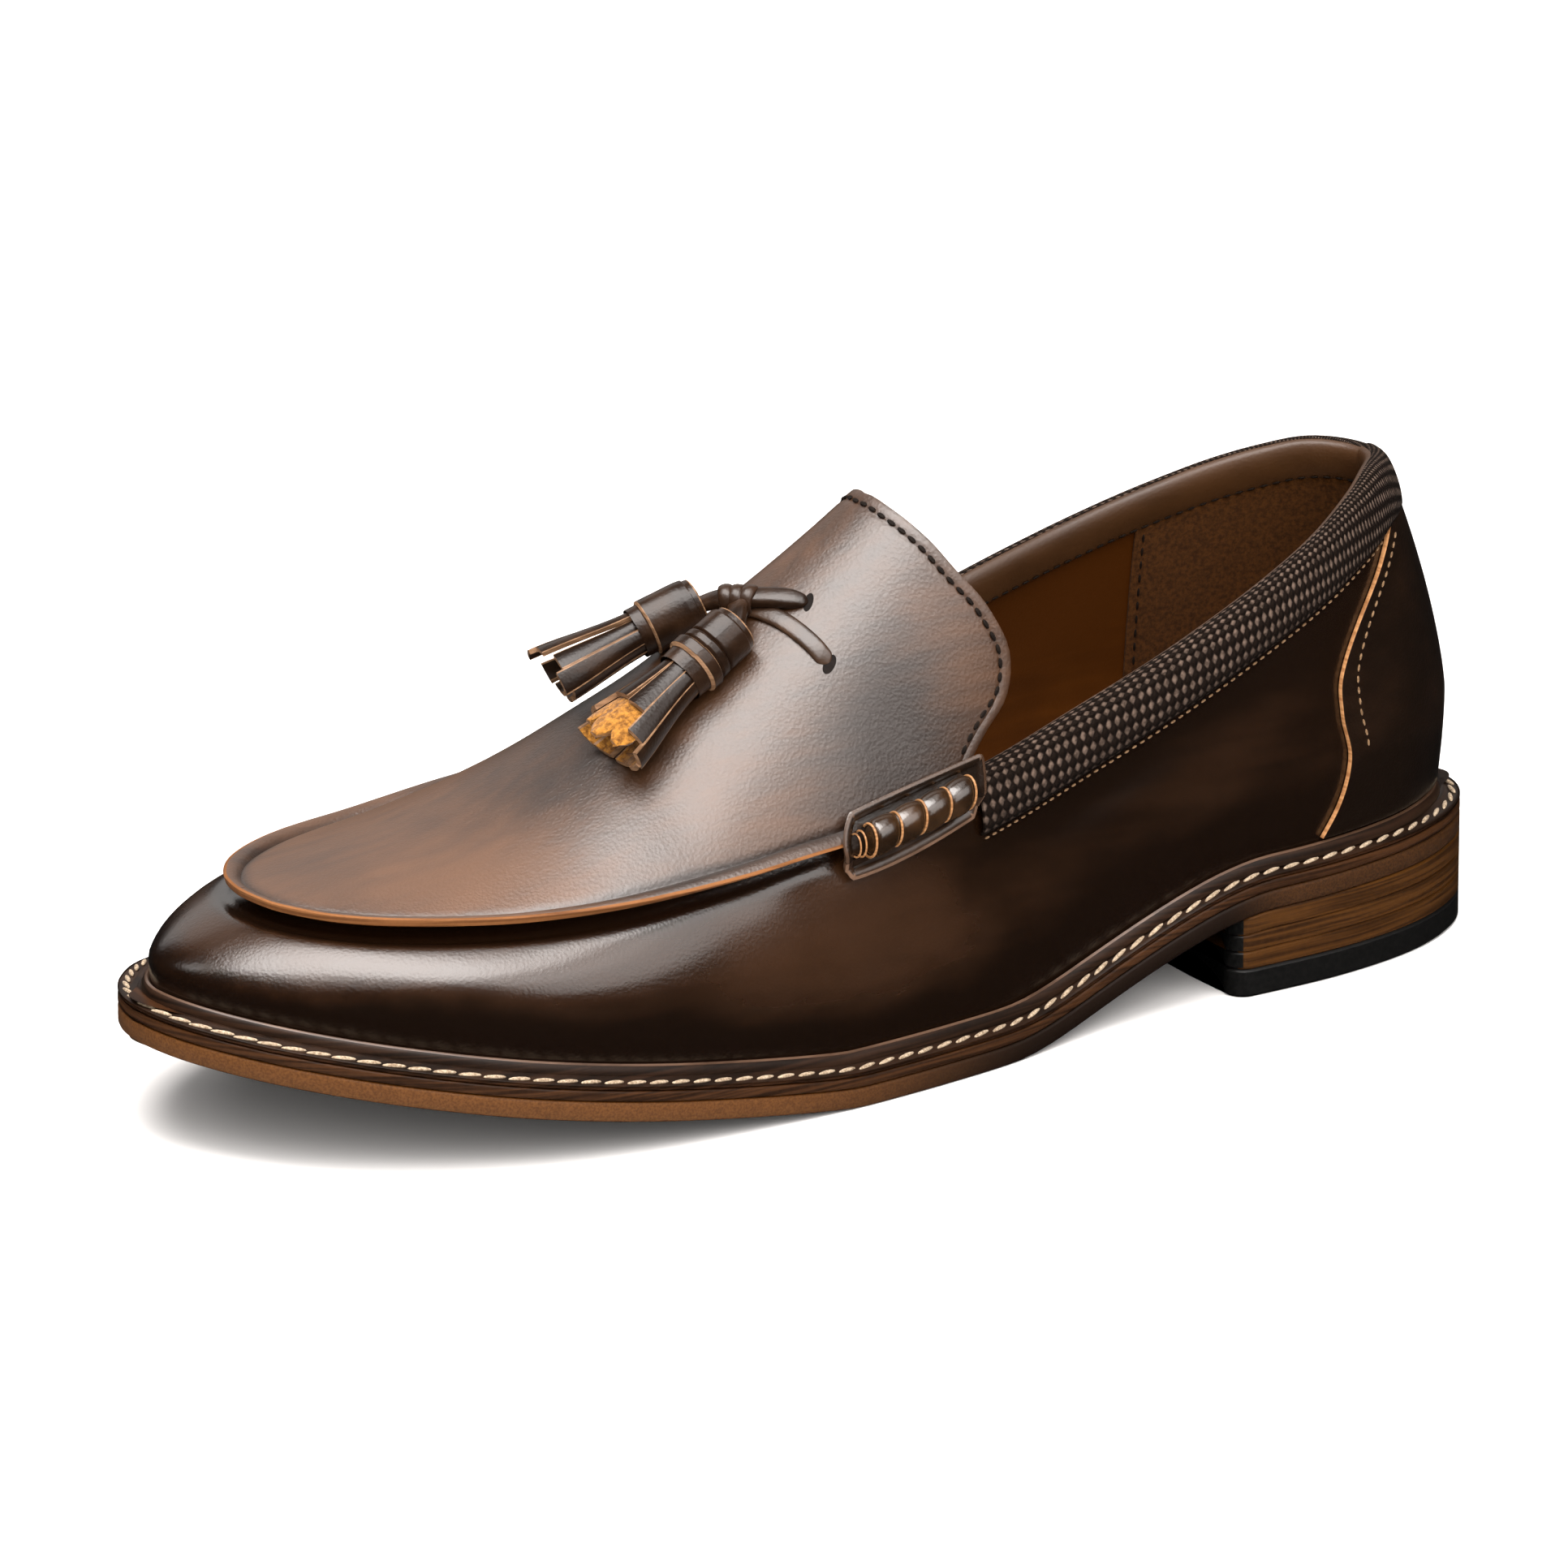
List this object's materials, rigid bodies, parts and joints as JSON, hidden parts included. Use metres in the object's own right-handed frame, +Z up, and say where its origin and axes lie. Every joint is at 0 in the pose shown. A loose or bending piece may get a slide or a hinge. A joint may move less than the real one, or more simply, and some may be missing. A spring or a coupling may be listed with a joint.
{
  "type": "tassel loafer",
  "caption": "Left leather slip-on dress shoe with a raised apron, tied tassels on the vamp, woven collar band, welted sole and low stacked heel.",
  "frame": {"origin": "middle of the shoe's footprint on the floor", "axes": "+X toward the toe, +Y to the wearer's left (this left shoe's outer side), +Z up"},
  "size_m": [0.3, 0.1049, 0.1082],
  "materials": {
    "burnished_leather": "burnished, glossy",
    "apron_leather": "burnished, glossy",
    "counter_leather": "burnished, glossy",
    "tab_leather": "burnished, glossy",
    "tassel_leather": "satin",
    "woven_band": "woven, matt",
    "welt_leather": "satin",
    "midsole_leather": "satin",
    "outsole_leather": "satin",
    "lining_leather": "matt",
    "heel_stack": "satin",
    "heel_rubber": "matt"
  },
  "bodies": {
    "root": {"upper": "burnished_leather", "apron": "apron_leather", "heel_counter": "counter_leather", "collar_band": "woven_band", "tab_outer": "tab_leather", "tab_inner": "tab_leather", "tassel_tie": "tassel_leather", "tassel_outer": "tassel_leather", "tassel_inner": "tassel_leather", "welt": "welt_leather", "midsole": "midsole_leather", "outsole": "outsole_leather", "insole": "lining_leather", "heel_lift_1": "heel_stack", "heel_lift_2": "heel_stack", "heel_lift_3": "heel_stack", "heel_top_lift": "heel_rubber"}
  },
  "joints": []
}
